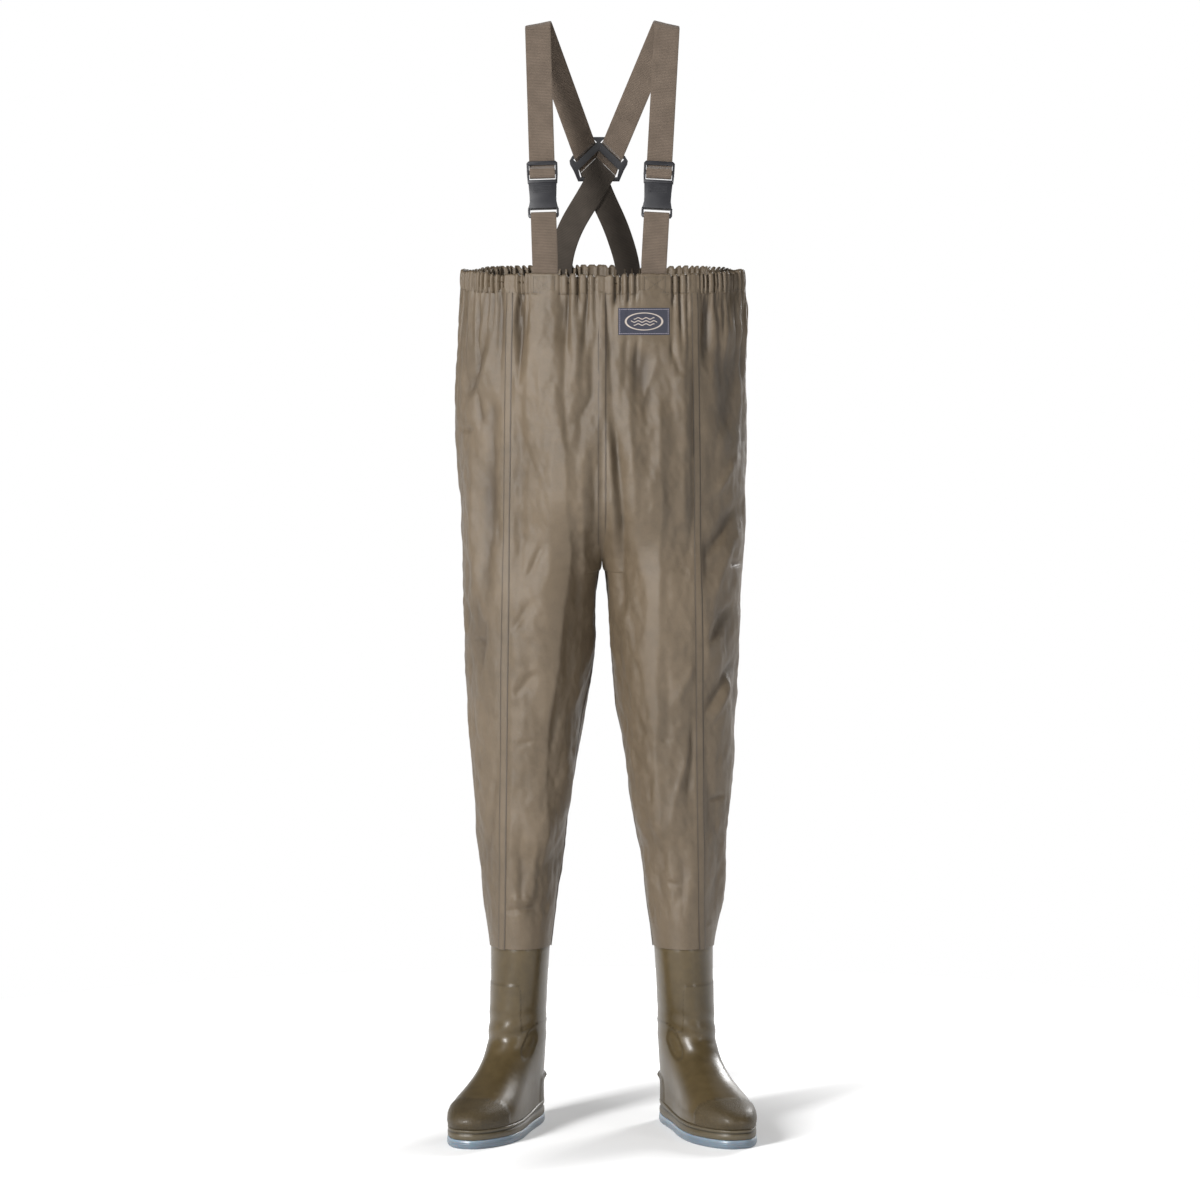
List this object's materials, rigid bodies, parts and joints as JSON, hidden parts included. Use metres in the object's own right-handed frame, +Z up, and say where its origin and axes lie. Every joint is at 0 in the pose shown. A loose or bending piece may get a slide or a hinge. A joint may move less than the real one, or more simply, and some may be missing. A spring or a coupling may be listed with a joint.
{
  "type": "chest waders",
  "caption": "Chest waders of coated fabric with gathered elastic waist, crossed shoulder straps with side-release buckles, jointed hips and knees, and welded-on moulded boots.",
  "frame": {"origin": "on the floor, under the centre of the bounding box of the standing waders", "axes": "+Z up, the front faces -Y, +X towards the wearer's left"},
  "size_m": [0.4606, 0.3438, 1.6693],
  "materials": {
    "coated_fabric": "coated woven nylon with a soft satin sheen",
    "seam_tape": "welded seam tape",
    "webbing": "ribbed polyester webbing, matte",
    "elastic": "smooth woven elastic, matte",
    "buckle_plastic": "moulded acetal, fine grain",
    "boot_pvc": "moulded PVC, satin gloss",
    "rand_pvc": "moulded PVC, satin",
    "outsole": "translucent moulded PVC",
    "insole": "felt",
    "label_cloth": "woven label with a stitched border"
  },
  "bodies": {
    "torso": {"right_front_torso_panel": "coated_fabric", "right_back_torso_panel": "coated_fabric", "left_front_torso_panel": "coated_fabric", "left_back_torso_panel": "coated_fabric", "centre_front_seam_tape": "seam_tape", "centre_back_seam_tape": "seam_tape", "right_torso_seam_tape": "seam_tape", "left_torso_seam_tape": "seam_tape", "waistband_casing": "coated_fabric", "waist_elastic": "elastic", "label_patch": "label_cloth", "right_buckle_socket": "buckle_plastic", "right_front_shoulder_strap": "webbing", "right_lower_strap": "webbing", "right_rear_shoulder_strap": "webbing", "right_rear_elastic": "elastic", "left_buckle_socket": "buckle_plastic", "left_front_shoulder_strap": "webbing", "left_lower_strap": "webbing", "left_rear_shoulder_strap": "webbing", "left_rear_elastic": "elastic", "crossing_plate": "buckle_plastic"},
    "right_thigh": {"right_front_thigh_panel": "coated_fabric", "right_back_thigh_panel": "coated_fabric", "right_outer_thigh_tape": "seam_tape", "right_inner_thigh_tape": "seam_tape"},
    "right_shin": {"right_front_shin_panel": "coated_fabric", "right_back_shin_panel": "coated_fabric", "right_outer_shin_tape": "seam_tape", "right_inner_shin_tape": "seam_tape"},
    "right_boot": {"right_boot_shell": "boot_pvc", "right_midsole": "rand_pvc", "right_outsole": "outsole", "right_insole": "insole", "right_leg_cuff": "coated_fabric"},
    "right_plug": {"right_buckle_plug": "buckle_plastic", "right_strap_tail": "webbing"},
    "right_prong_inner": {"right_buckle_prong_inner": "buckle_plastic"},
    "right_prong_outer": {"right_buckle_prong_outer": "buckle_plastic"},
    "left_thigh": {"left_front_thigh_panel": "coated_fabric", "left_back_thigh_panel": "coated_fabric", "left_outer_thigh_tape": "seam_tape", "left_inner_thigh_tape": "seam_tape"},
    "left_shin": {"left_front_shin_panel": "coated_fabric", "left_back_shin_panel": "coated_fabric", "left_outer_shin_tape": "seam_tape", "left_inner_shin_tape": "seam_tape"},
    "left_boot": {"left_boot_shell": "boot_pvc", "left_midsole": "rand_pvc", "left_outsole": "outsole", "left_insole": "insole", "left_leg_cuff": "coated_fabric"},
    "left_plug": {"left_buckle_plug": "buckle_plastic", "left_strap_tail": "webbing"},
    "left_prong_inner": {"left_buckle_prong_inner": "buckle_plastic"},
    "left_prong_outer": {"left_buckle_prong_outer": "buckle_plastic"}
  },
  "joints": [
    {"name": "right_hip", "type": "hinge", "parent": "torso", "child": "right_thigh", "pos_m": [-0.109, -0.073, 0.845], "axis": [-1, 0, 0], "range_deg": [0, 90]},
    {"name": "right_knee", "type": "hinge", "parent": "right_thigh", "child": "right_shin", "pos_m": [-0.117, 0.13, 0.56], "axis": [1, 0, 0], "range_deg": [0, 100]},
    {"name": "right_boot_turn", "type": "hinge", "parent": "right_shin", "child": "right_boot", "pos_m": [-0.126, 0.042, 0.325], "axis": [0, 0, -1], "range_deg": [-20, 20]},
    {"name": "right_buckle_release", "type": "slide", "parent": "torso", "child": "right_plug", "axis": [-0.0321, 0.2307, 0.9725], "range_m": [0, 0.035], "deforming": ["right_front_shoulder_strap"]},
    {"name": "right_prong_inner_squeeze", "type": "hinge", "parent": "right_plug", "child": "right_prong_inner", "pos_m": [-0.07632, -0.02604, 1.42407], "axis": [0, 0.973, -0.2308], "range_deg": [0, 4], "stiffness_Nm_per_rad": 2},
    {"name": "right_prong_outer_squeeze", "type": "hinge", "parent": "right_plug", "child": "right_prong_outer", "pos_m": [-0.10031, -0.02621, 1.42332], "axis": [0, -0.973, 0.2308], "range_deg": [0, 4], "stiffness_Nm_per_rad": 2},
    {"name": "left_hip", "type": "hinge", "parent": "torso", "child": "left_thigh", "pos_m": [0.109, -0.073, 0.845], "axis": [-1, 0, 0], "range_deg": [0, 90]},
    {"name": "left_knee", "type": "hinge", "parent": "left_thigh", "child": "left_shin", "pos_m": [0.117, 0.13, 0.56], "axis": [1, 0, 0], "range_deg": [0, 100]},
    {"name": "left_boot_turn", "type": "hinge", "parent": "left_shin", "child": "left_boot", "pos_m": [0.126, 0.042, 0.325], "axis": [0, 0, 1], "range_deg": [-20, 20]},
    {"name": "left_buckle_release", "type": "slide", "parent": "torso", "child": "left_plug", "axis": [0.0553, 0.2349, 0.9704], "range_m": [0, 0.035], "deforming": ["left_front_shoulder_strap"]},
    {"name": "left_prong_inner_squeeze", "type": "hinge", "parent": "left_plug", "child": "left_prong_inner", "pos_m": [0.07172, -0.02718, 1.42407], "axis": [0, -0.9719, 0.2353], "range_deg": [0, 4], "stiffness_Nm_per_rad": 2},
    {"name": "left_prong_outer_squeeze", "type": "hinge", "parent": "left_plug", "child": "left_prong_outer", "pos_m": [0.09569, -0.02749, 1.42278], "axis": [0, 0.9719, -0.2353], "range_deg": [0, 4], "stiffness_Nm_per_rad": 2}
  ],
  "couplings": [
    {"joint": "right_prong_outer_squeeze", "follows": "right_prong_inner_squeeze", "ratio": 1},
    {"joint": "left_prong_outer_squeeze", "follows": "left_prong_inner_squeeze", "ratio": 1}
  ]
}
